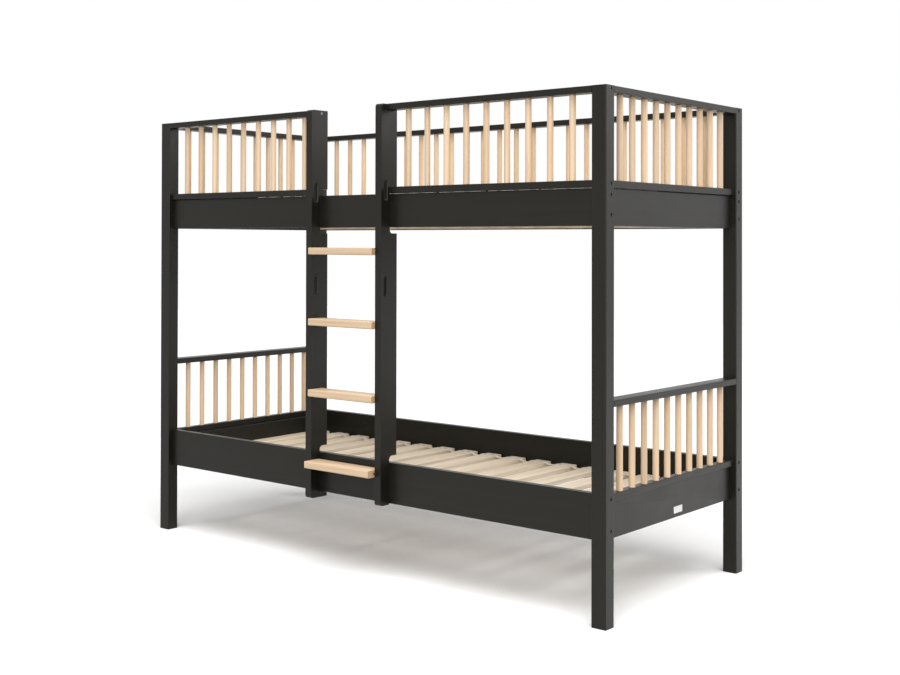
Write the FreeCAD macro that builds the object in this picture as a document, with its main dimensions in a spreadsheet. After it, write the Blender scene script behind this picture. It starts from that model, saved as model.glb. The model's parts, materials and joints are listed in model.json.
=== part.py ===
import FreeCAD, Part
import os
import Sketcher

# Bunk bed with a notched ladder. Millimetres, +Z up, +X along the bed, the ladder at the -Y front.
# The origin is on the floor, at the middle of the whole footprint with the ladder rungs included.

DIMENSIONS = [
    # alias, number, meaning
    ("bed_length", 2104, "over the outer faces of the posts"),
    ("bed_width", 1004, "over the outer faces of the posts"),
    ("bed_height", 1711, "floor to the top of the posts"),
    ("post_side", 52, "square section of a post"),
    ("edge_round", 3, "radius on the long edges of lacquered wood"),
    ("rail_floor", 270, "floor to the underside of the lower side rails and end boards"),
    ("low_rail_height", 147, "height of a lower side rail"),
    ("board_height", 121, "height of an upper side rail or an end board"),
    ("board_thick", 29, "thickness of side rails and end boards"),
    ("panel_gap", 1, "shadow gap between a board and the panel rail above it"),
    ("panel_rail_height", 24, "height of the rail under the spindles"),
    ("panel_rail_thick", 27, "thickness of the rail under the spindles"),
    ("top_rail_height", 22, "height of the rail over the spindles"),
    ("spindle_length", 277, "length of a spindle between its two rails"),
    ("spindle_dia", 21, "diameter of a spindle"),
    ("spindle_seat", 12, "depth of a spindle in each rail"),
    ("spindle_fit", 0.2, "hole over spindle, on the diameter"),
    ("end_spindles", 10, "number of spindles in an end panel"),
    ("guard_spindles", 9, "number of spindles in a front guard"),
    ("back_spindles", 23, "number of spindles in the back guard"),
    ("guard_length", 832, "length of a front guard from its post to the ladder opening"),
    ("stile_thick", 28, "thickness of a ladder stile"),
    ("stile_depth", 90, "front to back size of a ladder stile"),
    ("stile_proud", 26, "front of a stile before the front of the posts"),
    ("stile_floor", 266, "floor to the foot of the right stile"),
    ("stile_corner", 12, "radius on the front corners of a stile"),
    ("notch_drop", 22, "clearance of the upper notch under the upper side rail"),
    ("notch_corner", 15, "radius at the inner corner of a notch beside free space"),
    ("low_notch_rise", 24, "clearance of the lower notch over the lower side rail"),
    ("toe_height", 20, "height of the toe of the left stile"),
    ("toe_drop", 2, "clearance of the toe under the lower side rail"),
    ("slot_width", 17, "width of a slot in a stile"),
    ("slot_height", 70, "height of a slot in a stile"),
    ("slot_front", 26, "front of a stile to the axis of its slots"),
    ("slot_low", 1018, "floor to the bottom of the lower slot"),
    ("slot_high", 1363, "floor to the bottom of the upper slot"),
    ("slot_mouth", 3, "chamfer round the mouth of a slot"),
    ("rung_length", 308, "length of a rung between the stiles"),
    ("rung_depth", 84, "front to back size of a rung"),
    ("rung_thick", 26, "thickness of a rung"),
    ("rung_round", 4, "radius on the long edges of a rung"),
    ("rung_floor", 367, "floor to the underside of the lowest rung"),
    ("rung_pitch", 266, "rung to rung"),
    ("rung_proud", 19, "front of the upper rungs before the front of the stiles"),
    ("low_rung_gap", 3, "back of the lowest rung to the front of the lower side rail"),
    ("cleat_width", 22, "width of a cleat under the slats"),
    ("cleat_height", 29, "height of a cleat under the slats"),
    ("cleat_rise", 4, "underside of a side rail to the underside of its cleat"),
    ("cleat_end", 5, "end of a cleat to the face of the post"),
    ("slat_count", 17, "number of slats in a base"),
    ("slat_pitch", 120, "slat to slat"),
    ("slat_width", 70, "width of a slat"),
    ("slat_thick", 18, "thickness of a slat"),
    ("slat_play", 5, "end of a slat to the side rail"),
    ("slat_round", 3, "radius on the upper and lower edges of a slat"),
    ("slat_corner", 8, "radius on the four corners of a slat, seen from above"),
    ("tape_width", 22, "width of the fabric tape that links the slats"),
    ("tape_thick", 1.5, "thickness of the fabric tape"),
    ("tape_inset", 34, "end of a slat to the outer edge of the tape"),
    ("bolt_dia", 6, "thread of the frame bolts"),
    ("bolt_hole", 7, "hole for a frame bolt"),
    ("bolt_inset", 31, "outer face of the posts to the bolt axis"),
    ("bolt_low", 35, "underside of a side rail to its lower bolt"),
    ("bolt_top_low", 12, "top of a lower side rail to its upper bolt"),
    ("bolt_top_up", 22, "top of an upper side rail to its upper bolt"),
    ("bolt_reach", 37, "length of a bolt inside a rail"),
    ("bolt_spare", 4, "bore past the end of a bolt"),
    ("head_dia", 12, "diameter of a bolt head"),
    ("head_height", 5, "height of a bolt head"),
    ("head_sink", 7.5, "depth of the counterbore for a bolt head"),
    ("head_play", 1, "counterbore over bolt head, on the diameter"),
    ("socket_width", 4, "across the flats of the hexagon socket"),
    ("socket_depth", 2.5, "depth of the hexagon socket"),
    ("nut_dia", 10, "diameter of a barrel nut"),
    ("nut_length", 12, "length of a barrel nut"),
    ("nut_from_end", 30, "end of a rail to the axis of its barrel nut"),
    ("metal_fit", 0.2, "hole over barrel nut or thread, on the diameter"),
    ("dowel_dia", 8, "diameter of a wooden dowel"),
    ("dowel_fit", 0.2, "hole over dowel, on the diameter"),
    ("dowel_in_post", 12, "depth of a dowel in a post"),
    ("dowel_in_rail", 22, "depth of a dowel in a rail, board or rung"),
    ("dowel_inset", 21, "inner face of the posts to the dowels of rails and boards"),
    ("dowel_edge", 18, "edge of an end board to its dowels"),
    ("rung_dowel_back", 19, "back edge of a rung to its rear dowel"),
    ("rung_dowel_gap", 30, "front dowel to rear dowel of a rung"),
    ("rung_dowel_in_stile", 14, "depth of a rung dowel in a stile"),
    ("guard_dowel_in_rail", 11, "depth of a guard dowel in each rail"),
    ("screw_dia", 4, "diameter of a wood screw"),
    ("screw_head", 8, "diameter of a wood screw head"),
    ("screw_cone", 2.5, "height of a wood screw head"),
    ("screw_bite", 18, "length of a wood screw in the side rail"),
    ("screw_count", 8, "number of screws in a cleat"),
    ("screw_edge", 60, "end of a cleat to its first screw"),
    ("ladder_screw_dia", 6, "diameter of a ladder screw"),
    ("ladder_head_dia", 11, "diameter of the head of a ladder screw"),
    ("ladder_head_height", 3, "height of the head of a ladder screw"),
    ("ladder_screw_bite", 32, "length of a ladder screw in a guard rail"),
    ("ladder_screw_inset", 30, "outer face of the posts to the axis of a ladder screw"),
    ("plate_width", 62, "width of the blank plate on an end board"),
    ("plate_height", 23, "height of the blank plate"),
    ("plate_thick", 1, "thickness of the blank plate"),
    ("plate_shift", 32, "middle of the bed to the middle of the blank plate"),
    ("plate_rise", 15, "underside of the end board to the blank plate"),
]


class Size:
    """A length held as a number, to draw with, and as a sheet expression, to bind with."""

    def __init__(self, value, text):
        self.value = float(value)
        self.text = text

    def __add__(self, other):
        other = as_size(other)
        return Size(self.value + other.value, f"({self.text} + {other.text})")

    def __sub__(self, other):
        other = as_size(other)
        return Size(self.value - other.value, f"({self.text} - {other.text})")

    def __mul__(self, other):
        other = as_size(other)
        return Size(self.value * other.value, f"({self.text} * {other.text})")

    def __truediv__(self, other):
        other = as_size(other)
        return Size(self.value / other.value, f"({self.text} / {other.text})")

    def __neg__(self):
        return as_size(0) - self

    def __radd__(self, other):
        return as_size(other) + self

    def __rmul__(self, other):
        return as_size(other) * self


def as_size(thing):
    """A plain number as a Size; a Size stays as it is."""
    if isinstance(thing, Size):
        return thing
    return Size(thing, str(float(thing)))


class Sheet:
    """The driving dimensions as Size attributes, written to a spreadsheet as they are read."""

    def __init__(self, doc, rows):
        self.cells = doc.addObject("Spreadsheet::Sheet", "dims")
        for row, (alias, number, meaning) in enumerate(rows, start=1):
            self.cells.set(f"A{row}", meaning)
            self.cells.set(f"B{row}", str(number))
            self.cells.setAlias(f"B{row}", alias)
            setattr(self, alias, Size(number, f"dims.{alias}"))


doc = FreeCAD.newDocument("bunk_bed")
S = Sheet(doc, DIMENSIONS)
doc.recompute()

# ---------------------------------------------------------------- places shared by several pieces

FRONT_OVERHANG = S.rung_depth + S.low_rung_gap + S.board_thick - S.post_side
FRONT = (FRONT_OVERHANG - S.bed_width) / 2
BACK = FRONT + S.bed_width
LEFT = -S.bed_length / 2
RIGHT = S.bed_length / 2
INNER = {
    "front": FRONT + S.post_side,
    "back": BACK - S.post_side,
    "left": LEFT + S.post_side,
    "right": RIGHT - S.post_side,
}
CLEAR_LENGTH = S.bed_length - 2 * S.post_side
CLEAR_WIDTH = S.bed_width - 2 * S.post_side

PANEL_SET = (S.post_side - S.panel_rail_thick) / 2
SPINDLE_INSET = S.post_side / 2
PANEL_HEIGHT = S.panel_rail_height + S.spindle_length + S.top_rail_height
BOARD_Z = {
    "lower": S.rail_floor,
    "upper": S.bed_height - PANEL_HEIGHT - S.panel_gap - S.board_height,
}
PANEL_Z = {level: z + S.board_height + S.panel_gap for level, z in BOARD_Z.items()}
TOP_Z = {level: z + S.panel_rail_height + S.spindle_length for level, z in PANEL_Z.items()}
SIDE_RAIL_HEIGHT = {"lower": S.low_rail_height, "upper": S.board_height}

BOLT_Z = {
    "lower": [S.bolt_low, S.low_rail_height - S.bolt_top_low],
    "upper": [S.bolt_low, S.board_height - S.bolt_top_up],
}
GUARD_BOLT_Z = [PANEL_Z["upper"] + S.panel_rail_height / 2, TOP_Z["upper"] + S.top_rail_height / 2]
NUT_INSET = S.post_side - S.bolt_inset
NUT_BORE = NUT_INSET + S.nut_length / 2

STILE_FRONT = FRONT - S.stile_proud
LADDER_LEFT = INNER["left"] + S.guard_length
STILE_X = {"left": LADDER_LEFT - S.stile_thick, "right": LADDER_LEFT + S.rung_length}
NOTCH_WALL = INNER["front"] - S.board_thick - STILE_FRONT
PANEL_WALL = INNER["front"] - PANEL_SET - S.panel_rail_thick - STILE_FRONT
LADDER_SCREW_Y = FRONT + S.ladder_screw_inset


# ---------------------------------------------------------------- modelling helpers

EXTENT = {}


def new_body(label, at, extent):
    """An empty body whose lowest corner sits at the given place."""
    body = doc.addObject("PartDesign::Body", label)
    body.Label = label
    for axis, place in zip("xyz", at):
        body.setExpression(f"Placement.Base.{axis}", as_size(place).text)
    EXTENT[label] = [as_size(length) for length in extent]
    return body


def new_sketch(body, role, offset=0):
    """A sketch on one of the body's own planes, moved along its normal."""
    sketch = body.newObject("Sketcher::SketchObject", f"{body.Label}_sketch")
    plane = next(item for item in body.Origin.OriginFeatures if item.Role == role)
    sketch.AttachmentSupport = [(plane, "")]
    sketch.MapMode = "FlatFace"
    sketch.setExpression("AttachmentOffset.Base.z", as_size(offset).text)
    return sketch


def pin(sketch, geometry, point, x, y):
    """Bind one point of a sketch to its distances from the sketch origin."""
    for kind, size in (("DistanceX", x), ("DistanceY", y)):
        constraint = Sketcher.Constraint(kind, -1, 1, geometry, point, size.value)
        index = sketch.addConstraint(constraint)
        sketch.setExpression(f"Constraints[{index}]", size.text)


def draw_circle(sketch, centre, diameter):
    x, y = (as_size(item) for item in centre)
    diameter = as_size(diameter)
    middle = FreeCAD.Vector(x.value, y.value, 0)
    circle = Part.Circle(middle, FreeCAD.Vector(0, 0, 1), diameter.value / 2)
    index = sketch.addGeometry(circle)
    constraint = sketch.addConstraint(Sketcher.Constraint("Diameter", index, diameter.value))
    sketch.setExpression(f"Constraints[{constraint}]", diameter.text)
    pin(sketch, index, 3, x, y)


def draw_rectangle(sketch, low, high):
    x0, y0, x1, y1 = (as_size(item) for item in (*low, *high))
    corners = [(x0, y0), (x1, y0), (x1, y1), (x0, y1)]
    lines = []
    for start, end in zip(corners, corners[1:] + corners[:1]):
        ends = [FreeCAD.Vector(x.value, y.value, 0) for x, y in (start, end)]
        lines.append(sketch.addGeometry(Part.LineSegment(*ends)))
    for line, following in zip(lines, lines[1:] + lines[:1]):
        sketch.addConstraint(Sketcher.Constraint("Coincident", line, 2, following, 1))
    for kind, pair in (("Horizontal", lines[0::2]), ("Vertical", lines[1::2])):
        for line in pair:
            sketch.addConstraint(Sketcher.Constraint(kind, line))
    pin(sketch, lines[0], 1, x0, y0)
    pin(sketch, lines[2], 1, x1, y1)


def draw_hexagon(sketch, centre, flats):
    """A hexagon held by its construction circle."""
    x, y = (as_size(item) for item in centre)
    radius = as_size(flats) / (3 ** 0.5)
    middle = FreeCAD.Vector(x.value, y.value, 0)
    circle = sketch.addGeometry(Part.Circle(middle, FreeCAD.Vector(0, 0, 1), radius.value), True)
    index = sketch.addConstraint(Sketcher.Constraint("Radius", circle, radius.value))
    sketch.setExpression(f"Constraints[{index}]", radius.text)
    pin(sketch, circle, 3, x, y)
    turn = FreeCAD.Rotation(FreeCAD.Vector(0, 0, 1), 60)
    arm = FreeCAD.Vector(radius.value, 0, 0)
    tips = [middle + arm]
    for _ in range(5):
        arm = turn.multVec(arm)
        tips.append(middle + arm)
    sides = []
    for start, end in zip(tips, tips[1:] + tips[:1]):
        sides.append(sketch.addGeometry(Part.LineSegment(start, end)))
    for side, following in zip(sides, sides[1:] + sides[:1]):
        sketch.addConstraint(Sketcher.Constraint("Coincident", side, 2, following, 1))
        sketch.addConstraint(Sketcher.Constraint("PointOnObject", side, 1, circle))
    for side in sides[1:]:
        sketch.addConstraint(Sketcher.Constraint("Equal", sides[0], side))
    sketch.addConstraint(Sketcher.Constraint("Horizontal", sides[1]))


def draw_slot(sketch, low, width, height):
    """An upright slot with round ends, from the bottom point on its axis."""
    x, y = (as_size(item) for item in low)
    radius = as_size(width) / 2
    bottom, top = y + radius, y + height - radius
    half_turn = 3.141592653589793
    arcs = []
    for centre, start in ((top, 0), (bottom, half_turn)):
        middle = FreeCAD.Vector(x.value, centre.value, 0)
        circle = Part.Circle(middle, FreeCAD.Vector(0, 0, 1), radius.value)
        arcs.append(sketch.addGeometry(Part.ArcOfCircle(circle, start, start + half_turn)))
        pin(sketch, arcs[-1], 3, x, centre)
    index = sketch.addConstraint(Sketcher.Constraint("Radius", arcs[0], radius.value))
    sketch.setExpression(f"Constraints[{index}]", radius.text)
    for side, first, second in ((-1, (arcs[0], 2), (arcs[1], 1)), (1, (arcs[1], 2), (arcs[0], 1))):
        ends = [top, bottom] if side < 0 else [bottom, top]
        points = [FreeCAD.Vector(x.value + side * radius.value, end.value, 0) for end in ends]
        line = sketch.addGeometry(Part.LineSegment(*points))
        sketch.addConstraint(Sketcher.Constraint("Tangent", first[0], first[1], line, 1))
        sketch.addConstraint(Sketcher.Constraint("Tangent", line, 2, second[0], second[1]))


def pad(body, sketch, length, backwards=False):
    feature = body.newObject("PartDesign::Pad", f"{body.Label}_pad")
    feature.Profile = sketch
    feature.setExpression("Length", as_size(length).text)
    feature.Reversed = backwards
    sketch.Visibility = False
    body.Tip = feature
    return feature


def pocket(body, sketch, depth=None, backwards=False):
    """A pocket of a given depth, or right through when no depth is given."""
    feature = body.newObject("PartDesign::Pocket", f"{body.Label}_pocket")
    feature.Profile = sketch
    if depth is None:
        feature.Type = "ThroughAll"
    else:
        feature.setExpression("Length", as_size(depth).text)
    feature.Reversed = backwards
    sketch.Visibility = False
    body.Tip = feature
    return feature


def face_sketch(body, face):
    """A sketch on a face named x0, x1, y0, y1, z0 or z1, and whether a cut inwards is reversed."""
    role = {"x": "YZ_Plane", "y": "XZ_Plane", "z": "XY_Plane"}[face[0]]
    far = face[1] == "1"
    extent = EXTENT[body.Label]["xyz".index(face[0])]
    if face[0] == "y":
        return new_sketch(body, role, -extent if far else 0), far
    return new_sketch(body, role, extent if far else 0), not far


def drill(body, face, centres, diameter, depth=None):
    """Round holes into one face; centres are the two other coordinates, in x, y, z order."""
    sketch, backwards = face_sketch(body, face)
    for centre in centres:
        draw_circle(sketch, centre, diameter)
    return pocket(body, sketch, depth, backwards)


def bar(label, at, extent, run, round_by=None):
    """A straight bar along x, y or z with rounded long edges."""
    body = new_body(label, at, extent)
    sketch, backwards = face_sketch(body, run + "0")
    across = [EXTENT[label]["xyz".index(axis)] for axis in "xyz" if axis != run]
    draw_rectangle(sketch, (0, 0), across)
    pad(body, sketch, EXTENT[label]["xyz".index(run)], run == "y")
    if round_by is not None:
        round_edges(body, round_by, lambda edge: runs_along(edge, run))
    return body


def runs_along(edge, axis):
    """Whether a straight edge is parallel to x, y or z."""
    if not isinstance(edge.Curve, Part.Line):
        return False
    direction = edge.Curve.Direction
    return abs(abs((direction.x, direction.y, direction.z)["xyz".index(axis)]) - 1) < 1e-6


def at_corner(edge, y, z):
    """Whether an edge along x passes through the given y and z."""
    middle = edge.CenterOfMass
    close = abs(middle.y - as_size(y).value) < 0.01 and abs(middle.z - as_size(z).value) < 0.01
    return close and runs_along(edge, "x")


def dress(body, kind, size_name, size, chosen):
    """A fillet or chamfer on the edges that a test chooses."""
    doc.recompute()
    base = body.Tip
    names = [f"Edge{i}" for i, edge in enumerate(base.Shape.Edges, start=1) if chosen(edge)]
    feature = body.newObject(f"PartDesign::{kind}", f"{body.Label}_{kind.lower()}")
    feature.Base = (base, names)
    feature.setExpression(size_name, as_size(size).text)
    base.Visibility = False
    body.Tip = feature


def round_edges(body, radius, chosen):
    dress(body, "Fillet", "Radius", radius, chosen)


def chamfer_edges(body, size, chosen):
    dress(body, "Chamfer", "Size", size, chosen)


def spread(start, gap, count):
    """Places at equal gaps after the start."""
    return [start + gap * number for number in range(1, count + 1)]


def along(label, axis, place, length, centres, diameter):
    """One body of equal round pins along x, y or z, drawn at world places."""
    role = {"x": "YZ_Plane", "y": "XZ_Plane", "z": "XY_Plane"}[axis]
    body = new_body(label, (0, 0, 0), (0, 0, 0))
    add_pins(body, role, place, length, centres, diameter)
    return body


def add_pins(body, role, place, length, centres, diameter):
    """Equal round pins from a place on one axis, in the direction of a rising coordinate."""
    along_y = role == "XZ_Plane"
    sketch = new_sketch(body, role, -as_size(place) if along_y else place)
    for centre in centres:
        draw_circle(sketch, centre, diameter)
    return pad(body, sketch, length, along_y)


# ---------------------------------------------------------------- what goes where

def depth_place(side, thick, back_set=0):
    """Lowest coordinate of a member set back from the inner faces of the posts, or flush with them."""
    if side in ("front", "left"):
        return INNER[side] - back_set - thick
    return INNER[side] + back_set


def from_inner(side, thick, inset):
    """Local coordinate of a point set in from a member's inner face."""
    if side in ("front", "left"):
        return thick - inset
    return as_size(inset)


def inner_face(side, axis):
    return axis + ("1" if side in ("front", "left") else "0")


def dowel_rows():
    """Heights of the dowels that join the end panels to the posts."""
    rows = []
    for level in BOARD_Z:
        rows.append(BOARD_Z[level] + S.dowel_edge)
        rows.append(BOARD_Z[level] + S.board_height - S.dowel_edge)
        rows.append(PANEL_Z[level] + S.panel_rail_height / 2)
        rows.append(TOP_Z[level] + S.top_rail_height / 2)
    return rows


def all_bolt_heights():
    heights = list(GUARD_BOLT_Z)
    for level, offsets in BOLT_Z.items():
        heights += [BOARD_Z[level] + offset for offset in offsets]
    return heights


def make_post(side, end):
    at = (LEFT if end == "left" else INNER["right"], FRONT if side == "front" else INNER["back"], 0)
    post = bar(f"post_{side}_{end}", at, (S.post_side, S.post_side, S.bed_height), "z", S.edge_round)
    outer_x = "x0" if end == "left" else "x1"
    inner_x = "x1" if end == "left" else "x0"
    bolt_y = from_inner(side, S.post_side, NUT_INSET)
    bolts = [(bolt_y, height) for height in all_bolt_heights()]
    drill(post, outer_x, bolts, S.bolt_hole)
    drill(post, outer_x, bolts, S.head_dia + S.head_play, S.head_sink)
    dowel_x = from_inner(end, S.post_side, S.dowel_inset)
    inner_y = "y1" if side == "front" else "y0"
    dowel_hole = S.dowel_dia + S.dowel_fit
    drill(post, inner_y, [(dowel_x, z) for z in dowel_rows()], dowel_hole, S.dowel_in_post)
    dowel_y = from_inner(side, S.post_side, S.dowel_inset)
    rail_dowels = [(dowel_y, BOARD_Z[level] + SIDE_RAIL_HEIGHT[level] / 2) for level in BOARD_Z]
    drill(post, inner_x, rail_dowels, dowel_hole, S.dowel_in_post)


def bolt_rail_end(rail, side, thick, face, heights, length, back_set=0):
    """Bolt bores in one end of a rail and the cross bores for their barrel nuts."""
    bolt_y = from_inner(side, thick, NUT_INSET - back_set)
    bore = S.bolt_reach + S.bolt_spare
    drill(rail, face, [(bolt_y, z) for z in heights], S.bolt_hole, bore)
    nut_x = S.nut_from_end if face == "x0" else length - S.nut_from_end
    nut_holes = [(nut_x, z) for z in heights]
    drill(rail, inner_face(side, "y"), nut_holes, S.nut_dia + S.metal_fit, NUT_BORE - back_set)


def make_side_rail(level, side):
    height = SIDE_RAIL_HEIGHT[level]
    at = (INNER["left"], depth_place(side, S.board_thick), BOARD_Z[level])
    extent = (CLEAR_LENGTH, S.board_thick, height)
    rail = bar(f"side_rail_{level}_{side}", at, extent, "x", S.edge_round)
    dowel = (from_inner(side, S.board_thick, S.dowel_inset), height / 2)
    for face in ("x0", "x1"):
        bolt_rail_end(rail, side, S.board_thick, face, BOLT_Z[level], CLEAR_LENGTH)
        drill(rail, face, [dowel], S.dowel_dia + S.dowel_fit, S.dowel_in_rail)
    screw_z = S.cleat_rise + S.cleat_height / 2
    screws = [(x - INNER["left"], screw_z) for x in screw_places()]
    drill(rail, inner_face(side, "y"), screws, S.screw_dia + S.metal_fit, S.screw_bite)
    if level == "upper":
        pins = [(x - INNER["left"], dowel[0]) for x in guard_dowel_places(side)]
        drill(rail, "z1", pins, S.dowel_dia + S.dowel_fit, S.guard_dowel_in_rail)


def screw_places():
    """Where the screws of a cleat stand along the bed."""
    first = INNER["left"] + S.cleat_end + S.screw_edge
    step = (CLEAR_LENGTH - 2 * S.cleat_end - 2 * S.screw_edge) / (S.screw_count - 1)
    return [first + step * number for number in range(int(S.screw_count.value))]


def guard_dowel_places(side):
    """Where vertical dowels join the guards of one side to the upper side rail."""
    step = S.guard_length / 4
    from_left = [INNER["left"] + step * number for number in (1, 2, 3)]
    from_right = [INNER["right"] - step * number for number in (3, 2, 1)]
    middle = [] if side == "front" else [as_size(0)]
    return from_left + middle + from_right


def make_end_panel(level, end):
    name = f"end_{level}_{end}"
    dowel_hole = S.dowel_dia + S.dowel_fit
    members = [
        ("board", BOARD_Z[level], S.board_height, S.board_thick, as_size(0)),
        ("low_rail", PANEL_Z[level], S.panel_rail_height, S.panel_rail_thick, PANEL_SET),
        ("top_rail", TOP_Z[level], S.top_rail_height, S.post_side, as_size(0)),
    ]
    pitch = CLEAR_WIDTH / (S.end_spindles + 1)
    places = spread(as_size(0), pitch, int(S.end_spindles.value))
    for part, z, height, thick, back_set in members:
        at = (depth_place(end, thick, back_set), INNER["front"], z)
        member = bar(f"{name}_{part}", at, (thick, CLEAR_WIDTH, height), "y", S.edge_round)
        rows = [S.dowel_edge, height - S.dowel_edge] if part == "board" else [height / 2]
        dowel_x = from_inner(end, thick, S.dowel_inset - back_set)
        for face in ("y0", "y1"):
            drill(member, face, [(dowel_x, row) for row in rows], dowel_hole, S.dowel_in_rail)
        if part != "board":
            spindle_x = from_inner(end, thick, SPINDLE_INSET - back_set)
            holes = [(spindle_x, place) for place in places]
            face = "z1" if part == "low_rail" else "z0"
            drill(member, face, holes, S.spindle_dia + S.spindle_fit, S.spindle_seat)
    spindle_x = depth_place(end, as_size(0), SPINDLE_INSET)
    centres = [(spindle_x, INNER["front"] + place) for place in places]
    make_spindles(f"{name}_spindles", PANEL_Z[level] + S.panel_rail_height, centres)


def make_spindles(label, rail_top, centres):
    length = S.spindle_length + 2 * S.spindle_seat
    along(label, "z", rail_top - S.spindle_seat, length, centres, S.spindle_dia)


def make_guard(name, side, left, low_right, top_right, bolted, places):
    """A guard: low rail, top rail and spindles at the given places along the bed."""
    low, top = S.panel_rail_height, S.top_rail_height
    rails = [
        ("low_rail", PANEL_Z["upper"], low, S.panel_rail_thick, PANEL_SET, low_right, "z1"),
        ("top_rail", TOP_Z["upper"], top, S.post_side, as_size(0), top_right, "z0"),
    ]
    for part, z, height, thick, back_set, right, spindle_face in rails:
        start, end = left[part], right
        length = end - start
        at = (start, depth_place(side, thick, back_set), z)
        rail = bar(f"{name}_{part}", at, (length, thick, height), "x", S.edge_round)
        for face in bolted:
            bolt_rail_end(rail, side, thick, face, [height / 2], length, back_set)
        row = from_inner(side, thick, SPINDLE_INSET - back_set)
        holes = [(place - start, row) for place in places]
        drill(rail, spindle_face, holes, S.spindle_dia + S.spindle_fit, S.spindle_seat)
        if part == "low_rail":
            pin_y = from_inner(side, thick, S.dowel_inset - back_set)
            inside = [x for x in guard_dowel_places(side) if start.value < x.value < end.value]
            pins = [(x - start, pin_y) for x in inside]
            drill(rail, "z0", pins, S.dowel_dia + S.dowel_fit, S.guard_dowel_in_rail - S.panel_gap)
        elif name.startswith("guard_front"):
            face = "x1" if "x0" in bolted else "x0"
            screw = (LADDER_SCREW_Y - at[1], height / 2)
            drill(rail, face, [screw], S.ladder_screw_dia + S.metal_fit, S.ladder_screw_bite)
    y = depth_place(side, as_size(0), SPINDLE_INSET)
    make_spindles(f"{name}_spindles", PANEL_Z["upper"] + S.panel_rail_height, [(x, y) for x in places])


def make_guards():
    pitch = S.guard_length / (S.guard_spindles + 1)
    count = int(S.guard_spindles.value)
    left_start = {"low_rail": INNER["left"], "top_rail": INNER["left"]}
    places = spread(INNER["left"], pitch, count)
    make_guard("guard_front_left", "front", left_start, LADDER_LEFT, STILE_X["left"], ["x0"], places)
    start = INNER["right"] - S.guard_length
    right_start = {"low_rail": start, "top_rail": STILE_X["right"] + S.stile_thick}
    places = spread(start, pitch, count)
    make_guard("guard_front_right", "front", right_start, INNER["right"], INNER["right"], ["x1"], places)
    pitch = CLEAR_LENGTH / (S.back_spindles + 1)
    places = spread(INNER["left"], pitch, int(S.back_spindles.value))
    ends = ["x0", "x1"]
    make_guard("guard_back", "back", left_start, INNER["right"], INNER["right"], ends, places)


def make_stile(side):
    """A ladder stile, notched over the upper side rail and cut round the lower one."""
    toe_top = S.rail_floor - S.toe_drop
    foot = toe_top - S.toe_height if side == "left" else S.stile_floor
    height = S.bed_height - foot
    at = (STILE_X[side], STILE_FRONT, foot)
    stile = bar(f"ladder_stile_{side}", at, (S.stile_thick, S.stile_depth, height), "x")
    front = [(0, 0), (0, height)]
    round_edges(stile, S.stile_corner, lambda edge: any(at_corner(edge, *place) for place in front))

    past = S.stile_depth + 1
    upper_low = BOARD_Z["upper"] - S.notch_drop - foot
    upper_high = PANEL_Z["upper"] + S.panel_rail_height - foot
    lower_high = S.rail_floor + S.low_rail_height + S.low_notch_rise - foot
    lower_low = toe_top - foot if side == "left" else as_size(-1)
    sketch, backwards = face_sketch(stile, "x0")
    draw_rectangle(sketch, (NOTCH_WALL, upper_low), (past, upper_high))
    draw_rectangle(sketch, (NOTCH_WALL, lower_low), (past, lower_high))
    pocket(stile, sketch, None, backwards)
    free = [(NOTCH_WALL, upper_low), (NOTCH_WALL, lower_high)]
    round_edges(stile, S.notch_corner, lambda edge: any(at_corner(edge, *place) for place in free))
    if side == "left":
        sketch, backwards = face_sketch(stile, "x0")
        panel_low = PANEL_Z["upper"] - S.panel_gap - foot
        draw_rectangle(sketch, (PANEL_WALL, panel_low), (past, upper_high))
        pocket(stile, sketch, None, backwards)

    sketch, backwards = face_sketch(stile, "x0")
    for bottom in (S.slot_low, S.slot_high):
        draw_slot(sketch, (S.slot_front, bottom - foot), S.slot_width, S.slot_height)
    pocket(stile, sketch, None, backwards)
    half = S.slot_width.value / 2 + 0.01
    chamfer_edges(stile, S.slot_mouth, lambda edge: is_slot_mouth(edge, half))

    inner = "x1" if side == "left" else "x0"
    dowels = [(y - STILE_FRONT, z - foot) for y, z in rung_dowel_places()]
    drill(stile, inner, dowels, S.dowel_dia + S.dowel_fit, S.rung_dowel_in_stile)
    screw = [(LADDER_SCREW_Y - STILE_FRONT, TOP_Z["upper"] + S.top_rail_height / 2 - foot)]
    drill(stile, inner, screw, S.ladder_screw_dia + S.metal_fit)
    drill(stile, inner, screw, S.ladder_head_dia + S.head_play, S.ladder_head_height)


def is_slot_mouth(edge, half):
    """Whether an edge lies in a side face of a stile, round one of its slots."""
    box = edge.BoundBox
    if box.XLength > 0.01:
        return False
    near_axis = abs(edge.CenterOfMass.y - S.slot_front.value) <= half
    return near_axis and box.YLength <= 2 * half and box.ZLength < S.slot_height.value


def rung_places():
    """Front and underside of each rung, from the lowest."""
    rail_front = INNER["front"] - S.board_thick
    low_front = rail_front - S.low_rung_gap - S.rung_depth
    fronts = [low_front] + [STILE_FRONT - S.rung_proud] * 3
    return [(front, S.rung_floor + S.rung_pitch * step) for step, front in enumerate(fronts)]


def rung_dowel_places():
    places = []
    for front, z in rung_places():
        rear = front + S.rung_depth - S.rung_dowel_back
        for y in (rear - S.rung_dowel_gap, rear):
            places.append((y, z + S.rung_thick / 2))
    return places


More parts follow.
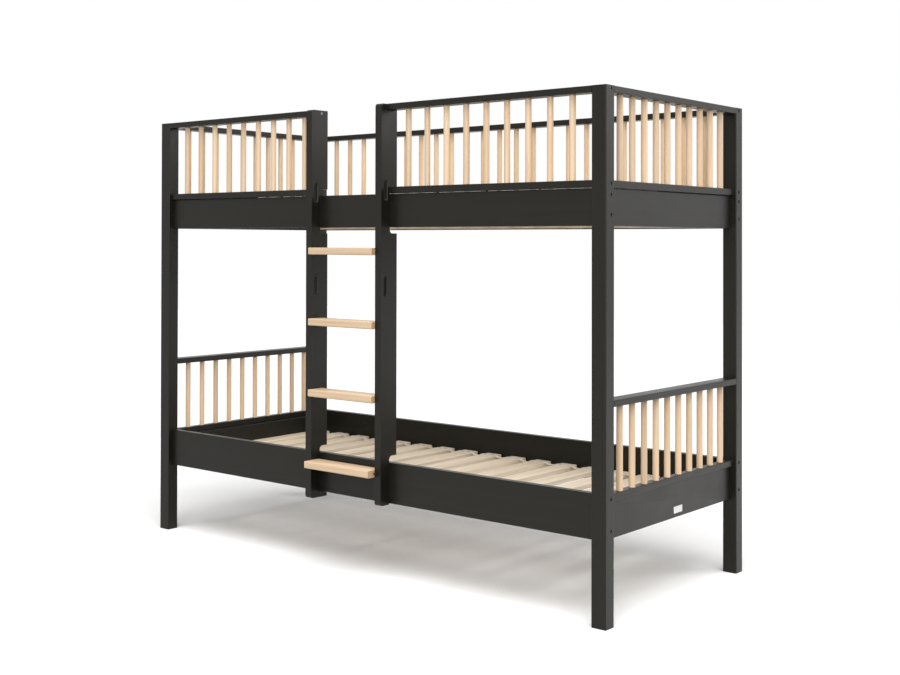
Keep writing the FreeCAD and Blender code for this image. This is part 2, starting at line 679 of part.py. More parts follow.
def make_rungs():
    dowels = rung_dowel_places()
    for number, (front, z) in enumerate(rung_places(), start=1):
        at = (LADDER_LEFT, front, z)
        extent = (S.rung_length, S.rung_depth, S.rung_thick)
        rung = bar(f"ladder_rung_{number}", at, extent, "x", S.rung_round)
        holes = [(y - front, S.rung_thick / 2) for y, _ in dowels[2 * number - 2:2 * number]]
        for face in ("x0", "x1"):
            drill(rung, face, holes, S.dowel_dia + S.dowel_fit, S.dowel_in_rail)
    pins = new_body("ladder_rung_dowels", (0, 0, 0), (0, 0, 0))
    length = S.rung_dowel_in_stile + S.dowel_in_rail
    for start in (LADDER_LEFT - S.rung_dowel_in_stile, STILE_X["right"] - S.dowel_in_rail):
        add_pins(pins, "YZ_Plane", start, length, dowels, S.dowel_dia)


def make_ladder_screws():
    """A screw through each stile into the end of a guard top rail."""
    screws = new_body("ladder_screws", (0, 0, 0), (0, 0, 0))
    place = [(LADDER_SCREW_Y, TOP_Z["upper"] + S.top_rail_height / 2)]
    shank = S.stile_thick - S.ladder_head_height + S.ladder_screw_bite
    left_head = LADDER_LEFT - S.ladder_head_height
    right_head = STILE_X["right"]
    right_shank = right_head + S.ladder_head_height
    add_pins(screws, "YZ_Plane", left_head - shank, shank, place, S.ladder_screw_dia)
    add_pins(screws, "YZ_Plane", left_head, S.ladder_head_height, place, S.ladder_head_dia)
    add_pins(screws, "YZ_Plane", right_shank, shank, place, S.ladder_screw_dia)
    add_pins(screws, "YZ_Plane", right_head, S.ladder_head_height, place, S.ladder_head_dia)


def make_cleat(level, side):
    length = CLEAR_LENGTH - 2 * S.cleat_end
    y = INNER["front"] if side == "front" else INNER["back"] - S.cleat_width
    at = (INNER["left"] + S.cleat_end, y, BOARD_Z[level] + S.cleat_rise)
    cleat = bar(f"cleat_{level}_{side}", at, (length, S.cleat_width, S.cleat_height), "x")
    screws = [(x - at[0], S.cleat_height / 2) for x in screw_places()]
    open_face = "y1" if side == "front" else "y0"
    drill(cleat, open_face, screws, S.screw_dia + S.metal_fit)
    drill(cleat, open_face, screws, S.screw_head + S.metal_fit, S.screw_cone)


def make_cleat_screws():
    screws = new_body("cleat_screws", (0, 0, 0), (0, 0, 0))
    shank = S.cleat_width - S.screw_cone + S.screw_bite
    places = []
    for level in BOARD_Z:
        z = BOARD_Z[level] + S.cleat_rise + S.cleat_height / 2
        places += [(x, z) for x in screw_places()]
    front_head = INNER["front"] + S.cleat_width - S.screw_cone
    back_head = INNER["back"] - S.cleat_width
    add_pins(screws, "XZ_Plane", INNER["front"] - S.screw_bite, shank, places, S.screw_dia)
    add_pins(screws, "XZ_Plane", front_head, S.screw_cone, places, S.screw_head)
    add_pins(screws, "XZ_Plane", back_head + S.screw_cone, shank, places, S.screw_dia)
    add_pins(screws, "XZ_Plane", back_head, S.screw_cone, places, S.screw_head)


def make_slats(level):
    """The slats of one base and the two tapes that link them."""
    count = int(S.slat_count.value)
    first = -(S.slat_pitch * (count - 1) + S.slat_width) / 2
    slat_z = BOARD_Z[level] + S.cleat_rise + S.cleat_height
    at = (first, INNER["front"] + S.slat_play, slat_z)
    length = CLEAR_WIDTH - 2 * S.slat_play
    span = S.slat_pitch * (count - 1) + S.slat_width
    slats = new_body(f"{level}_slats", at, (span, length, S.slat_thick))
    sketch = new_sketch(slats, "XY_Plane")
    for number in range(count):
        left = S.slat_pitch * number
        draw_rectangle(sketch, (left, 0), (left + S.slat_width, length))
    pad(slats, sketch, S.slat_thick)
    round_edges(slats, S.slat_corner, lambda edge: runs_along(edge, "z"))
    round_edges(slats, S.slat_round, lambda edge: runs_along(edge, "y"))

    tape_at = (first, at[1], slat_z + S.slat_thick)
    tapes = new_body(f"{level}_slat_tapes", tape_at, (span, length, S.tape_thick))
    sketch = new_sketch(tapes, "XY_Plane")
    for low in (S.tape_inset, length - S.tape_inset - S.tape_width):
        draw_rectangle(sketch, (0, low), (span, low + S.tape_width))
    pad(tapes, sketch, S.tape_thick)


def make_frame_bolts():
    """Bolts through the posts into the rails, with hexagon sockets in their sunk heads."""
    bolts = new_body("frame_bolts", (0, 0, 0), (0, 0, 0))
    rows = [FRONT + S.bolt_inset, BACK - S.bolt_inset]
    places = [(y, z) for y in rows for z in all_bolt_heights()]
    shank = S.post_side - S.head_sink + S.bolt_reach
    head = S.head_height
    starts = {
        "left": (LEFT + S.head_sink, LEFT + S.head_sink - head),
        "right": (INNER["right"] - S.bolt_reach, RIGHT - S.head_sink),
    }
    for shank_start, head_start in starts.values():
        add_pins(bolts, "YZ_Plane", shank_start, shank, places, S.bolt_dia)
        add_pins(bolts, "YZ_Plane", head_start, head, places, S.head_dia)
    sockets = {"left": (starts["left"][1], True), "right": (starts["right"][1] + head, False)}
    for face, backwards in sockets.values():
        sketch = new_sketch(bolts, "YZ_Plane", face)
        for place in places:
            draw_hexagon(sketch, place, S.socket_width)
        pocket(bolts, sketch, S.socket_depth, backwards)


def make_barrel_nuts():
    """One barrel nut on every bolt, across the rail, with its thread bore."""
    nuts = new_body("barrel_nuts", (0, 0, 0), (0, 0, 0))
    columns = [INNER["left"] + S.nut_from_end, INNER["right"] - S.nut_from_end]
    places = [(x, z) for x in columns for z in all_bolt_heights()]
    for y in (FRONT + S.bolt_inset, BACK - S.bolt_inset):
        add_pins(nuts, "XZ_Plane", y - S.nut_length / 2, S.nut_length, places, S.nut_dia)
    rows = [(FRONT + S.bolt_inset, z) for z in all_bolt_heights()]
    rows += [(BACK - S.bolt_inset, z) for z in all_bolt_heights()]
    sketch = new_sketch(nuts, "YZ_Plane", RIGHT)
    for place in rows:
        draw_circle(sketch, place, S.bolt_dia + S.metal_fit)
    pocket(nuts, sketch)


def make_frame_dowels():
    """Dowels of the end panels, of the side rails and under the guards."""
    length = S.dowel_in_post + S.dowel_in_rail
    ends = new_body("end_dowels", (0, 0, 0), (0, 0, 0))
    columns = [INNER["left"] - S.dowel_inset, INNER["right"] + S.dowel_inset]
    places = [(x, z) for x in columns for z in dowel_rows()]
    for y in (INNER["front"] - S.dowel_in_post, INNER["back"] - S.dowel_in_rail):
        add_pins(ends, "XZ_Plane", y, length, places, S.dowel_dia)

    rails = new_body("rail_dowels", (0, 0, 0), (0, 0, 0))
    rows = [INNER["front"] - S.dowel_inset, INNER["back"] + S.dowel_inset]
    heights = [BOARD_Z[level] + SIDE_RAIL_HEIGHT[level] / 2 for level in BOARD_Z]
    places = [(y, z) for y in rows for z in heights]
    for x in (INNER["left"] - S.dowel_in_post, INNER["right"] - S.dowel_in_rail):
        add_pins(rails, "YZ_Plane", x, length, places, S.dowel_dia)

    bottom = BOARD_Z["upper"] + S.board_height - S.guard_dowel_in_rail
    places = [(x, rows[0]) for x in guard_dowel_places("front")]
    places += [(x, rows[1]) for x in guard_dowel_places("back")]
    along("guard_dowels", "z", bottom, 2 * S.guard_dowel_in_rail, places, S.dowel_dia)


def make_plate():
    """The blank plate on the right lower end board."""
    at = (INNER["right"] + S.board_thick, (FRONT + BACK) / 2 + S.plate_shift - S.plate_width / 2,
          BOARD_Z["lower"] + S.plate_rise)
    extent = (S.plate_thick, S.plate_width, S.plate_height)
    bar("name_plate", at, extent, "x", S.plate_thick)


# ---------------------------------------------------------------- the bed

for side in ("front", "back"):
    for end in ("left", "right"):
        make_post(side, end)
for level in ("lower", "upper"):
    for end in ("left", "right"):
        make_end_panel(level, end)
    for side in ("front", "back"):
        make_side_rail(level, side)
        make_cleat(level, side)
    make_slats(level)
make_guards()
for side in ("left", "right"):
    make_stile(side)
make_rungs()
make_ladder_screws()
make_cleat_screws()
make_frame_bolts()
make_barrel_nuts()
make_frame_dowels()
make_plate()
doc.recompute()

for item in doc.Objects:
    if "Invalid" in item.State or "Error" in item.State:
        raise RuntimeError(f"{item.Label}: {item.State}")

os.makedirs("parts", exist_ok=True)
for item in doc.Objects:
    if item.TypeId != "PartDesign::Body":
        continue
    if item.Shape.isNull() or not item.Shape.isValid():
        raise RuntimeError(f"{item.Label} has no valid shape")
    item.Shape.exportStep(f"parts/{item.Label}.step")
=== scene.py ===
import json
import math

import bmesh
import bpy
from mathutils import Matrix, Vector


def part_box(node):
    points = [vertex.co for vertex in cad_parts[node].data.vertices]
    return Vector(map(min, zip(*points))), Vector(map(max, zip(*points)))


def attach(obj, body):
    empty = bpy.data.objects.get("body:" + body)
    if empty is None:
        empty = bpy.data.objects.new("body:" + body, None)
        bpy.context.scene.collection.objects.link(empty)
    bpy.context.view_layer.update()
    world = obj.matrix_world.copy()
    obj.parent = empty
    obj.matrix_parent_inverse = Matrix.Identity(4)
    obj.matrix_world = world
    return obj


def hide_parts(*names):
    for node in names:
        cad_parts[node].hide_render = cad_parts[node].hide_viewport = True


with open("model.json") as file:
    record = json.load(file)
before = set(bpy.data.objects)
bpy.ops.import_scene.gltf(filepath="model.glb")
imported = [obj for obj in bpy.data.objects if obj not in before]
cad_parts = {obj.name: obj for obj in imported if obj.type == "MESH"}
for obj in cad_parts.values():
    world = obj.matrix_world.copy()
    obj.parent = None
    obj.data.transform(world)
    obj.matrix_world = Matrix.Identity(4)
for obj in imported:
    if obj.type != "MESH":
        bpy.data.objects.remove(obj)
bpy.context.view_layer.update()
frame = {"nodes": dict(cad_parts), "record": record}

# ------------------------------------------------------------------ places read from the frame

NODES = frame["nodes"]
SLOT_OF = {item["node"]: item["material_slot"] for item in frame["record"]["subparts"]}
LEVELS = ("lower", "upper")

# ------------------------------------------------------------------ colours, as linear RGB

LACQUER = (0.0086, 0.0080, 0.0054)
LACQUER_EDGE = (0.028, 0.026, 0.020)
PINE = (0.800, 0.588, 0.388)
PINE_RING = (0.610, 0.395, 0.220)
PINE_END = (0.500, 0.300, 0.155)
PINE_CLOUD = (0.860, 0.680, 0.490)
SLAT = (0.930, 0.790, 0.610)
SLAT_RING = (0.740, 0.570, 0.390)
SLAT_END = (0.600, 0.430, 0.270)
BEECH = (0.560, 0.350, 0.190)
TAPE = (0.830, 0.790, 0.720)
# painted shade: the colour of the hollows between the tape's threads
TAPE_THREAD_SHADE = (0.560, 0.510, 0.430)
TAPE_FUZZ = (0.900, 0.870, 0.810)
ZINC = (0.130, 0.130, 0.132)
ZINC_STAIN = (0.085, 0.083, 0.080)
PLATE = (0.800, 0.795, 0.780)
PLATE_BRUSHED = (0.660, 0.655, 0.640)
PAPER = (0.985, 0.985, 0.985)
PAPER_BOUNCE = (0.300, 0.300, 0.300)


# ------------------------------------------------------------------ node helpers

class Graph:
    """A material's node tree, built by short calls."""

    def __init__(self, name):
        self.material = bpy.data.materials.new(name)
        self.material.use_nodes = True
        self.tree = self.material.node_tree
        self.tree.nodes.clear()
        self.output = self.tree.nodes.new("ShaderNodeOutputMaterial")
        self.shader = self.tree.nodes.new("ShaderNodeBsdfPrincipled")
        self.link(self.shader.outputs["BSDF"], self.output.inputs["Surface"])

    def link(self, source, target):
        self.tree.links.new(source, target)

    def add(self, kind, settings=None, **inputs):
        """A node whose inputs are numbers, colours or other nodes' outputs."""
        node = self.tree.nodes.new("ShaderNode" + kind)
        for key, value in (settings or {}).items():
            setattr(node, key, value)
        for key, value in inputs.items():
            socket = node.inputs[int(key[1:]) if key[0] == "i" and key[1:].isdigit() else key]
            if isinstance(value, bpy.types.NodeSocket):
                self.link(value, socket)
            else:
                socket.default_value = value
        return node

    def maths(self, operation, first, second=0.0):
        return self.add("Math", {"operation": operation}, i0=first, i1=second).outputs[0]

    def vector(self, operation, first, second=(0.0, 0.0, 0.0)):
        return self.add("VectorMath", {"operation": operation}, i0=first, i1=second).outputs[0]

    def noise(self, vector, scale, detail=2.0, rough=0.5, warp=0.0):
        node = self.add("TexNoise", None, Vector=vector, Scale=scale, Detail=detail,
                        Roughness=rough, Distortion=warp)
        return node.outputs["Fac"]

    def mix(self, factor, first, second, blend="MIX"):
        node = self.add("Mix", {"data_type": "RGBA", "blend_type": blend})
        for index, value in ((0, factor), (6, first), (7, second)):
            if isinstance(value, bpy.types.NodeSocket):
                self.link(value, node.inputs[index])
            elif index == 0:
                node.inputs[index].default_value = value
            else:
                node.inputs[index].default_value = (*value[:3], 1.0)
        return node.outputs[2]

    def ramp(self, factor, low, high, start=0.0, end=1.0):
        """A value moved from one range to another, kept inside it."""
        node = self.add("MapRange", {"clamp": True})
        self.link(factor, node.inputs["Value"])
        node.inputs["From Min"].default_value = start
        node.inputs["From Max"].default_value = end
        node.inputs["To Min"].default_value = low
        node.inputs["To Max"].default_value = high
        return node.outputs["Result"]

    def bump(self, height, distance, strength=1.0, below=None):
        node = self.add("Bump", None, Height=height, Distance=distance, Strength=strength)
        if below is not None:
            self.link(below, node.inputs["Normal"])
        return node.outputs["Normal"]

    def surface(self, colour=None, rough=None, normal=None, **constants):
        """Finish the shader; the constants go straight onto its sockets."""
        for key, value in (("Base Color", colour), ("Roughness", rough), ("Normal", normal)):
            if isinstance(value, bpy.types.NodeSocket):
                self.link(value, self.shader.inputs[key])
            elif value is not None:
                is_colour = key == "Base Color"
                self.shader.inputs[key].default_value = (*value, 1.0) if is_colour else value
        for key, value in constants.items():
            self.shader.inputs[key.replace("_", " ")].default_value = value
        return self.material


GRAIN_TURN = {
    "x": (0.0, 0.0, 0.0),
    "y": (0.0, 0.0, -math.pi / 2),
    "z": (0.0, math.pi / 2, 0.0),
}


def grain_space(graph, axis):
    """Object coordinates turned so that the grain runs along X, shifted for each loose piece."""
    place = graph.add("TexCoord").outputs["Object"]
    island = graph.add("NewGeometry").outputs["Random Per Island"]
    turned = graph.add("Mapping", None, Vector=place, Rotation=GRAIN_TURN[axis]).outputs[0]
    jump = graph.add("CombineXYZ", None, X=graph.maths("MULTIPLY", island, 37.0),
                     Y=graph.maths("MULTIPLY", island, 11.7),
                     Z=graph.maths("MULTIPLY", island, 5.3)).outputs[0]
    return graph.vector("ADD", turned, jump), island


def stretched(graph, space, along, across):
    return graph.vector("MULTIPLY", space, (along, across, across))


def end_mask(graph, axis):
    """One on faces that cut across the grain, nought elsewhere."""
    normal = graph.add("TexCoord").outputs["Normal"]
    parts = graph.add("SeparateXYZ", None, Vector=normal).outputs["xyz".index(axis)]
    facing = graph.maths("ABSOLUTE", parts)
    return graph.ramp(facing, 0.0, 1.0, 0.85, 0.97)


def pale_wood(name, axis, base=PINE, ring=PINE_RING, end=PINE_END):
    """Clear lacquered softwood: growth rings, fibres, a tone of its own, darker end grain."""
    graph = Graph(name)
    space, island = grain_space(graph, axis)
    wander = graph.noise(stretched(graph, space, 0.9, 6.0), 1.0, 2.0)
    bent = graph.vector("ADD", stretched(graph, space, 0.05, 1.0),
                        graph.add("CombineXYZ", None, Y=graph.maths("MULTIPLY", wander, 0.055),
                                  Z=graph.maths("MULTIPLY", wander, 0.03)).outputs[0])
    rings = graph.add("TexWave", {"wave_type": "RINGS", "rings_direction": "X"},
                      Vector=bent, Scale=22.0, Distortion=2.2, Detail=2.0,
                      **{"Detail Scale": 1.4}).outputs["Fac"]
    late = graph.maths("POWER", rings, 2.6)
    fibre = graph.noise(stretched(graph, space, 7.0, 620.0), 1.0, 3.0, 0.6)
    pores = graph.noise(stretched(graph, space, 26.0, 1500.0), 1.0, 1.0)
    cloud = graph.noise(stretched(graph, space, 1.4, 9.0), 1.0, 2.0)
    colour = graph.mix(graph.maths("MULTIPLY", late, 0.42), base, ring)
    colour = graph.mix(graph.ramp(fibre, 0.0, 0.16, 0.45, 0.75), colour, ring)
    colour = graph.mix(graph.ramp(cloud, 0.0, 0.22, 0.40, 0.70), colour, PINE_CLOUD)
    tone = graph.ramp(island, 0.88, 1.09)
    shade = graph.add("CombineColor", None, Red=tone, Green=tone, Blue=tone).outputs[0]
    colour = graph.mix(1.0, colour, shade, "MULTIPLY")
    cut = end_mask(graph, axis)
    colour = graph.mix(graph.maths("MULTIPLY", cut, 0.55), colour, end)
    rough = graph.maths("ADD", graph.ramp(fibre, 0.40, 0.52, 0.3, 0.7),
                        graph.maths("MULTIPLY", cut, 0.18))
    normal = graph.bump(fibre, 0.00022, 0.55)
    normal = graph.bump(pores, 0.00010, 0.40, normal)
    normal = graph.bump(late, 0.00012, 0.35, normal)
    return graph.surface(colour, rough, normal, Specular_IOR_Level=0.42, Coat_Weight=0.12,
                         Coat_Roughness=0.32)


def black_wood(name, axis):
    """Satin black lacquer on wood: the grain shows through faintly and the arrises wear lighter."""
    graph = Graph(name)
    space, island = grain_space(graph, axis)
    grain = graph.noise(stretched(graph, space, 5.0, 340.0), 1.0, 3.0, 0.6)
    figure = graph.noise(stretched(graph, space, 0.8, 30.0), 1.0, 3.0, 0.5, 0.6)
    peel = graph.noise(space, 420.0, 2.0)
    dust = graph.noise(space, 6.0, 3.0)
    lighter = graph.maths("ADD", graph.ramp(figure, 0.0, 0.10, 0.45, 0.75),
                          graph.ramp(grain, 0.0, 0.07, 0.5, 0.8))
    colour = graph.mix(lighter, LACQUER, LACQUER_EDGE)
    tone = graph.ramp(island, 0.95, 1.05)
    shade = graph.add("CombineColor", None, Red=tone, Green=tone, Blue=tone).outputs[0]
    colour = graph.mix(1.0, colour, shade, "MULTIPLY")
    flat = graph.add("NewGeometry").outputs["Normal"]
    soft = graph.add("Bevel", {"samples": 4}, Radius=0.0022).outputs[0]
    dot = graph.add("VectorMath", {"operation": "DOT_PRODUCT"}, i0=flat, i1=soft)
    match = dot.outputs["Value"]
    wear = graph.maths("MULTIPLY", graph.ramp(match, 1.0, 0.0, 0.86, 0.995),
                       graph.ramp(dust, 0.05, 0.40, 0.42, 0.66))
    colour = graph.mix(wear, colour, LACQUER_EDGE)
    rough = graph.maths("ADD", graph.ramp(dust, 0.33, 0.41, 0.35, 0.65),
                        graph.ramp(grain, 0.0, 0.05, 0.45, 0.75))
    normal = graph.bump(grain, 0.00016, 0.42)
    normal = graph.bump(figure, 0.00020, 0.20, normal)
    normal = graph.bump(peel, 0.00006, 0.30, normal)
    return graph.surface(colour, rough, normal, Specular_IOR_Level=0.22, Coat_Weight=0.05,
                         Coat_Roughness=0.30)


def zinc_steel():
    graph = Graph("zinc_steel_turned")
    place = graph.add("TexCoord").outputs["Object"]
    speckle = graph.noise(place, 900.0, 3.0)
    stain = graph.noise(place, 60.0, 2.0)
    colour = graph.mix(graph.ramp(stain, 0.0, 0.5, 0.35, 0.7), ZINC, ZINC_STAIN)
    rough = graph.ramp(speckle, 0.26, 0.46, 0.3, 0.7)
    normal = graph.bump(speckle, 0.00008, 0.35)
    return graph.surface(colour, rough, normal, Metallic=1.0)


def plate_metal():
    graph = Graph("plate_metal_brushed")
    place = graph.add("TexCoord").outputs["Object"]
    brushed = graph.noise(graph.vector("MULTIPLY", place, (40.0, 40.0, 2600.0)), 1.0, 2.0)
    colour = graph.mix(graph.ramp(brushed, 0.0, 0.35, 0.3, 0.7), PLATE, PLATE_BRUSHED)
    rough = graph.ramp(brushed, 0.36, 0.52, 0.3, 0.7)
    normal = graph.bump(brushed, 0.00006, 0.35)
    return graph.surface(colour, rough, normal, Metallic=0.35)


def woven_tape():
    """Plain woven cotton tape: warp and weft ridges, with painted shade between the threads."""
    graph = Graph("white_tape_woven")
    place = graph.add("TexCoord").outputs["Object"]
    thread = 0.0011
    waves = []
    for direction in ("X", "Y"):
        wave = graph.add("TexWave", {"wave_type": "BANDS", "bands_direction": direction},
                         Vector=place, Scale=0.314 / thread, Distortion=0.3, Detail=1.0)
        waves.append(wave.outputs["Fac"])
    weave = graph.maths("MULTIPLY", waves[0], waves[1])
    fuzz = graph.noise(place, 1400.0, 3.0)
    # painted shade: the colour darkens towards the gaps between the threads of the weave
    colour = graph.mix(graph.ramp(weave, 0.55, 0.0, 0.0, 0.5), TAPE, TAPE_THREAD_SHADE)
    colour = graph.mix(graph.ramp(fuzz, 0.0, 0.25, 0.4, 0.7), colour, TAPE_FUZZ)
    normal = graph.bump(weave, 0.0003, 0.7)
    normal = graph.bump(fuzz, 0.0001, 0.4, normal)
    return graph.surface(colour, 0.86, normal, Sheen_Weight=0.25, Sheen_Roughness=0.5)


# ------------------------------------------------------------------ finishes on the CAD pieces

WOOD = {}
for axis in "xyz":
    WOOD["black_wood", axis] = black_wood(f"black_wood_{axis}", axis)
    WOOD["pale_wood", axis] = pale_wood(f"pale_wood_{axis}", axis)
    WOOD["dowel_wood", axis] = pale_wood(f"dowel_wood_{axis}", axis, BEECH, PINE_END, PINE_END)
SLAT_WOOD = pale_wood("pale_wood_slat", "y", SLAT, SLAT_RING, SLAT_END)
# painted light: the cleats take the slats' paler colours so that they look lit where they sit in
# shade
CLEAT_WOOD_PAINTED_LIGHT = pale_wood("pale_wood_cleat_painted_light", "x", SLAT, SLAT_RING, SLAT_END)
METAL = {"zinc_steel": zinc_steel(), "plate_metal": plate_metal()}
TAPE_CLOTH = woven_tape()


def grain_axis(name):
    """The direction in which a node's wood was cut."""
    if "spindles" in name or name.startswith(("post", "ladder_stile")) or name == "guard_dowels":
        return "z"
    if name.startswith("end_") or name.endswith("_slats"):
        return "y"
    return "x"


def dress(thing, material):
    slots = thing.data.materials
    if not slots:
        slots.append(material)
    for index in range(len(slots)):
        slots[index] = material


for name, thing in NODES.items():
    slot = SLOT_OF[name]
    if slot == "white_tape":
        dress(thing, TAPE_CLOTH)
    elif slot in METAL:
        dress(thing, METAL[slot])
    elif name.endswith("_slats"):
        dress(thing, SLAT_WOOD)
    elif "cleat" in name:
        # painted light: the cleats get the paler slat wood to offset the shade they sit in
        dress(thing, CLEAT_WOOD_PAINTED_LIGHT)
    elif name == "ladder_rung_dowels":
        dress(thing, WOOD["black_wood", "x"])
    else:
        dress(thing, WOOD[slot, grain_axis(name)])


# ------------------------------------------------------------------ slack tapes and their staples

SLAT_PITCH = 0.120
SLAT_WIDTH = 0.070
TAPE_WIDTH = 0.022
TAPE_THICK = 0.0013
TAPE_LIFT = 0.0002      # underside of the tape above the slat
TAPE_FLAT_IN = 0.003    # edge of a slat to where the tape lies flat
TAPE_DIP = 0.0006       # first drop past the edge of a slat
TAPE_SAG = 0.007
TAPE_STEPS = 8
STAPLE = (0.0011, 0.0120, 0.0009)
STAPLE_IN = 0.018       # edge of a slat to its staple
STAPLE_ROUND = 0.00022


def new_piece(name, mesh_maker, material):
    """A mesh made by a function of a bmesh, riding on the frame."""
    mesh = bpy.data.meshes.new(name)
    build = bmesh.new()
    mesh_maker(build)
    bmesh.ops.recalc_face_normals(build, faces=build.faces)
    build.to_mesh(mesh)
    build.free()
    mesh.materials.append(material)
    piece = bpy.data.objects.new(name, mesh)
    bpy.context.scene.collection.objects.link(piece)
    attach(piece, "root")
    return piece


def slat_edges(level):
    """Left and right edge of each slat of one base."""
    low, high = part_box(f"{level}_slats")
    count = round((high[0] - low[0] - SLAT_WIDTH) / SLAT_PITCH) + 1
    return [(low[0] + SLAT_PITCH * i, low[0] + SLAT_PITCH * i + SLAT_WIDTH) for i in range(count)]


def tape_line(level):
    """Points along a tape: flat over each slat, sagging in the gap to the next."""
    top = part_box(f"{level}_slats")[1][2]
    line = []
    edges = slat_edges(level)
    for index, (left, right) in enumerate(edges):
        line += [(left + TAPE_FLAT_IN, top), (right - TAPE_FLAT_IN, top)]
        if index + 1 < len(edges):
            start, gap = right, edges[index + 1][0] - right
            sag = TAPE_SAG * (0.75 + 0.5 * ((index * 7) % 5) / 4)
            for step in range(TAPE_STEPS + 1):
                t = step / TAPE_STEPS
                drop = TAPE_DIP + sag * math.sin(math.pi * t) ** 0.8
                line.append((start + gap * t, top - drop))
    return line


def tape_mesh(level):
    low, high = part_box(f"{level}_slat_tapes")
    rows = ((low[1], low[1] + TAPE_WIDTH), (high[1] - TAPE_WIDTH, high[1]))

    def make(build):
        line = tape_line(level)
        for near, far in rows:
            previous = None
            first = None
            for x, z in line:
                corners = ((near, TAPE_LIFT), (far, TAPE_LIFT),
                           (far, TAPE_THICK), (near, TAPE_THICK))
                ring = [build.verts.new((x, y, z + lift)) for y, lift in corners]
                if previous:
                    for a in range(4):
                        b = (a + 1) % 4
                        build.faces.new((previous[a], previous[b], ring[b], ring[a]))
                else:
                    first = ring
                previous = ring
            build.faces.new(first)
            build.faces.new(list(reversed(previous)))
    return make


def staple_mesh(level):
    """Two wire staples across each tape on each slat."""
    low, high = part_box(f"{level}_slat_tapes")
    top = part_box(f"{level}_slats")[1][2] + TAPE_THICK
    middles = (low[1] + TAPE_WIDTH / 2, high[1] - TAPE_WIDTH / 2)

    def make(build):
        for left, right in slat_edges(level):
            for middle in middles:
                for x in (left + STAPLE_IN, right - STAPLE_IN):
                    place = Matrix.Translation((x, middle, top + TAPE_LIFT))
                    wire = Matrix.Diagonal((*STAPLE, 1.0))
                    bmesh.ops.create_cube(build, size=1.0, matrix=place @ wire)
        bmesh.ops.bevel(build, geom=build.edges[:], offset=STAPLE_ROUND, segments=2, affect="EDGES")
    return make


for level in LEVELS:
    tape = new_piece(f"{level}_tape_slack", tape_mesh(level), TAPE_CLOTH)
    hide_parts(f"{level}_slat_tapes")
    new_piece(f"{level}_tape_staples", staple_mesh(level), METAL["zinc_steel"])


# ------------------------------------------------------------------ floor, light and camera

FLOOR_HALF = 14.0
FLOOR_DROP = 0.0005
WORLD_LIGHT = 0.24
WORLD_SEEN = 1.0
CAMERA_PLACE = (3.0791, -4.0885, 1.2150)
CAMERA_YAW, CAMERA_PITCH, CAMERA_ROLL = -0.7468, 0.0086, 0.0030
CAMERA_LENS = 51.49
CAMERA_SENSOR = 36.0
CAMERA_SHIFT = (0.1707, -0.1194)


def looked_at(tree):
    """One for rays from the camera, a mirror or glass, nought for rays that gather light."""
    path = tree.nodes.new("ShaderNodeLightPath")
    total = path.outputs["Is Camera Ray"]
    for kind in ("Is Glossy Ray", "Is Transmission Ray"):
        either = tree.nodes.new("ShaderNodeMath")
        either.operation = "MAXIMUM"
        tree.links.new(total, either.inputs[0])
        tree.links.new(path.outputs[kind], either.inputs[1])
        total = either.outputs[0]
    return total


def paper_material():
    """White paper to the camera, with the bed's shadow on it; grey to the light it throws back."""
    graph = Graph("studio_paper")
    graph.surface(PAPER, 0.9, None, Specular_IOR_Level=0.0)
    grey = graph.add("BsdfDiffuse", None, Color=(*PAPER_BOUNCE, 1.0)).outputs[0]
    seen = looked_at(graph.tree)
    blend = graph.add("MixShader", None, i0=seen, i1=grey, i2=graph.shader.outputs["BSDF"])
    graph.link(blend.outputs[0], graph.output.inputs["Surface"])
    return graph.material


def add_floor():
    size = FLOOR_HALF
    mesh = bpy.data.meshes.new("floor")
    mesh.from_pydata([(-size, -size, 0), (size, -size, 0), (size, size, 0), (-size, size, 0)],
                     [], [(0, 1, 2, 3)])
    floor = bpy.data.objects.new("floor", mesh)
    floor.location.z = -FLOOR_DROP
    bpy.context.scene.collection.objects.link(floor)
    mesh.materials.append(paper_material())


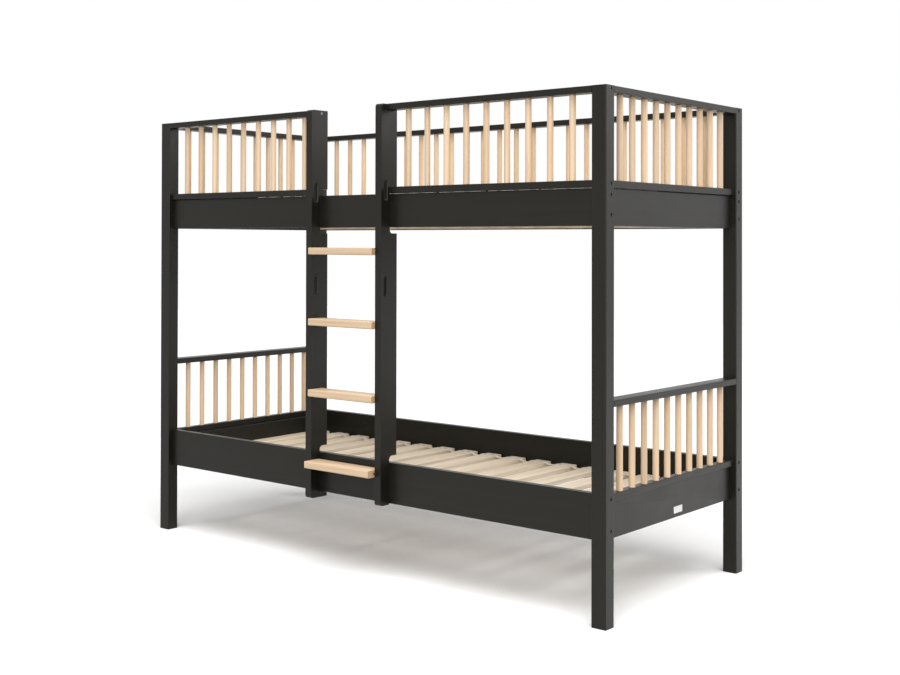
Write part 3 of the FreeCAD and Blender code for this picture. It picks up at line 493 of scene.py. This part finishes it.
def add_world():
    """White behind the object and in its reflections, soft grey as a light."""
    world = bpy.data.worlds.new("studio")
    bpy.context.scene.world = world
    world.use_nodes = True
    tree = world.node_tree
    tree.nodes.clear()
    output = tree.nodes.new("ShaderNodeOutputWorld")
    lit = tree.nodes.new("ShaderNodeBackground")
    lit.inputs["Color"].default_value = (1.0, 1.0, 1.0, 1.0)
    lit.inputs["Strength"].default_value = WORLD_LIGHT
    shown = tree.nodes.new("ShaderNodeBackground")
    shown.inputs["Color"].default_value = (1.0, 1.0, 1.0, 1.0)
    shown.inputs["Strength"].default_value = WORLD_SEEN
    blend = tree.nodes.new("ShaderNodeMixShader")
    tree.links.new(looked_at(tree), blend.inputs["Fac"])
    tree.links.new(lit.outputs[0], blend.inputs[1])
    tree.links.new(shown.outputs[0], blend.inputs[2])
    tree.links.new(blend.outputs[0], output.inputs["Surface"])


def add_area(name, place, target, size, power):
    light = bpy.data.lights.new(name, "AREA")
    light.shape = "RECTANGLE"
    light.size, light.size_y = size
    light.energy = power
    lamp = bpy.data.objects.new(name, light)
    lamp.location = place
    lamp.rotation_euler = (Vector(target) - Vector(place)).to_track_quat("-Z", "Y").to_euler()
    bpy.context.scene.collection.objects.link(lamp)


def add_sun(direction, strength, spread):
    """A broad light from the same side everywhere, so that the floor stays white to its edge."""
    light = bpy.data.lights.new("sky", "SUN")
    light.energy = strength
    light.angle = math.radians(spread)
    lamp = bpy.data.objects.new("sky", light)
    lamp.rotation_euler = Vector(direction).to_track_quat("Z", "Y").to_euler()
    bpy.context.scene.collection.objects.link(lamp)


def add_camera():
    """The camera at the photograph's place: level, with its frame shifted off its axis."""
    data = bpy.data.cameras.new("camera")
    data.lens = CAMERA_LENS
    data.sensor_width = CAMERA_SENSOR
    data.shift_x, data.shift_y = CAMERA_SHIFT
    camera = bpy.data.objects.new("camera", data)
    turn = (Matrix.Rotation(-CAMERA_YAW, 4, "Z")
            @ Matrix.Rotation(math.pi / 2 + CAMERA_PITCH, 4, "X"))
    camera.matrix_world = (Matrix.Translation(CAMERA_PLACE) @ turn
                           @ Matrix.Rotation(CAMERA_ROLL, 4, "Z"))
    bpy.context.scene.collection.objects.link(camera)
    bpy.context.scene.camera = camera


add_floor()
add_world()
add_sun((0.25, -0.40, 1.0), 2.95, 50.0)
add_area("right_back", (5.6, 3.6, 3.6), (0.9, 0.0, 1.0), (4.0, 3.0), 150.0)
add_area("right_front", (3.6, -6.2, 2.6), (0.0, 0.0, 0.9), (3.2, 2.6), 190.0)
add_camera()

bpy.context.scene.view_settings.view_transform = "Standard"
